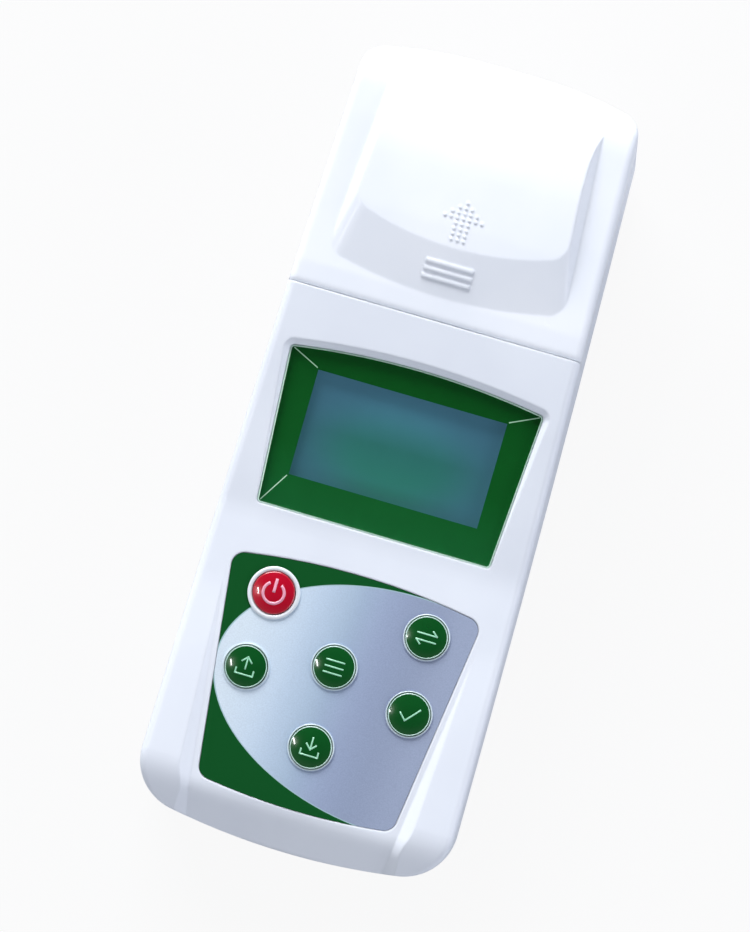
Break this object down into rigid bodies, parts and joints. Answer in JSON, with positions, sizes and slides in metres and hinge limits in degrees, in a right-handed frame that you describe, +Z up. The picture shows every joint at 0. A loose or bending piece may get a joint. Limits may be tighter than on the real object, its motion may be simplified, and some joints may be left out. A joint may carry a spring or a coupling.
{
  "type": "handheld colorimeter",
  "caption": "Handheld colorimeter with a sliding lid over its sample well, a tilted display window, a sunken keypad and a battery door.",
  "frame": {"origin": "on the table, under the middle of the instrument's length and width", "axes": "+Y from the user towards the lid end, +X to the user's right, +Z up"},
  "size_m": [0.0888, 0.221, 0.0546],
  "materials": {
    "case_white": "satin moulded ABS",
    "lid_white": "satin moulded ABS",
    "black_rubber": "matt",
    "zinc_steel": "zinc plated",
    "panel_silver": "printed polyester film, silver and green",
    "key_red": "clear doming resin over print",
    "key_green": "clear doming resin over print",
    "black_plastic": "fine matt moulding",
    "board_green": "solder resist",
    "chip_black": "moulded epoxy",
    "bright_can": "drawn can",
    "gold_can": "gold plated can",
    "socket_ivory": "moulded nylon",
    "window_clear": "clear acrylic",
    "window_green": "screen print",
    "lcd_blue": "liquid crystal cell with polariser",
    "light_guide": "milky acrylic",
    "ribbon_amber": "polyimide film",
    "black_foam": "closed-cell foam",
    "lamp_clear": "clear epoxy",
    "optic_clear": "polished",
    "filter_green": "coated glass",
    "nickel_sheet": "nickel plated spring sheet",
    "lead_red": "soft PVC",
    "lead_black": "soft PVC",
    "lead_grey": "soft PVC",
    "cell_wrap": "printed sleeve"
  },
  "bodies": {
    "case": {"upper_case": "case_white", "lower_case": "case_white", "rubber_feet": "black_rubber", "case_screws": "zinc_steel", "keypad_panel": "panel_silver", "key_switches": "black_plastic", "main_board": "board_green", "main_board_screws": "zinc_steel", "processor": "chip_black", "amplifier": "chip_black", "crystal": "bright_can", "buzzer": "black_plastic", "capacitors": "bright_can", "battery_socket": "socket_ivory", "lamp_socket": "socket_ivory", "sensor_socket": "socket_ivory", "display_window": "window_clear", "display_mask": "window_green", "display_bezel": "zinc_steel", "display_glass": "lcd_blue", "display_backlight": "light_guide", "display_board": "board_green", "display_board_screws": "zinc_steel", "display_ribbon": "ribbon_amber", "well_collar": "black_plastic", "well_light_seal": "black_foam", "sample_block": "black_plastic", "block_screws": "zinc_steel", "lamp": "lamp_clear", "lens": "optic_clear", "optical_filter": "filter_green", "photodiode": "gold_can", "lamp_board": "board_green", "detector_board": "board_green", "optics_screws": "zinc_steel", "battery_contacts": "nickel_sheet", "battery_lead_red": "lead_red", "battery_lead_black": "lead_black", "lamp_lead": "lead_black", "sensor_lead": "lead_grey", "battery_1": "cell_wrap", "battery_2": "cell_wrap", "battery_3": "cell_wrap", "battery_4": "cell_wrap"},
    "lid": {"lid": "lid_white", "lid_liner": "black_plastic", "lid_slide_bars": "black_plastic", "lid_screws": "zinc_steel", "liner_screws": "zinc_steel"},
    "battery_door": {"battery_door": "case_white"},
    "key_power_cap": {"key_power": "key_red"},
    "key_switch_cap": {"key_switch": "key_green"},
    "key_recall_cap": {"key_recall": "key_green"},
    "key_menu_cap": {"key_menu": "key_green"},
    "key_confirm_cap": {"key_confirm": "key_green"},
    "key_save_cap": {"key_save": "key_green"}
  },
  "joints": [
    {"name": "lid_slide", "type": "slide", "parent": "case", "child": "lid", "axis": [0, 1, 0], "range_m": [0, 0.04]},
    {"name": "battery_door_slide", "type": "slide", "parent": "case", "child": "battery_door", "axis": [0, -1, 0], "range_m": [0, 0.006]},
    {"name": "key_power_press", "type": "slide", "parent": "case", "child": "key_power_cap", "axis": [0, 0.0698, -0.9976], "range_m": [0, 0.0005], "stiffness_N_per_m": 2000},
    {"name": "key_switch_press", "type": "slide", "parent": "case", "child": "key_switch_cap", "axis": [0, 0.0698, -0.9976], "range_m": [0, 0.0005], "stiffness_N_per_m": 2000},
    {"name": "key_recall_press", "type": "slide", "parent": "case", "child": "key_recall_cap", "axis": [0, 0.0698, -0.9976], "range_m": [0, 0.0005], "stiffness_N_per_m": 2000},
    {"name": "key_menu_press", "type": "slide", "parent": "case", "child": "key_menu_cap", "axis": [0, 0.0698, -0.9976], "range_m": [0, 0.0005], "stiffness_N_per_m": 2000},
    {"name": "key_confirm_press", "type": "slide", "parent": "case", "child": "key_confirm_cap", "axis": [0, 0.0698, -0.9976], "range_m": [0, 0.0005], "stiffness_N_per_m": 2000},
    {"name": "key_save_press", "type": "slide", "parent": "case", "child": "key_save_cap", "axis": [0, 0.0698, -0.9976], "range_m": [0, 0.0005], "stiffness_N_per_m": 2000}
  ]
}
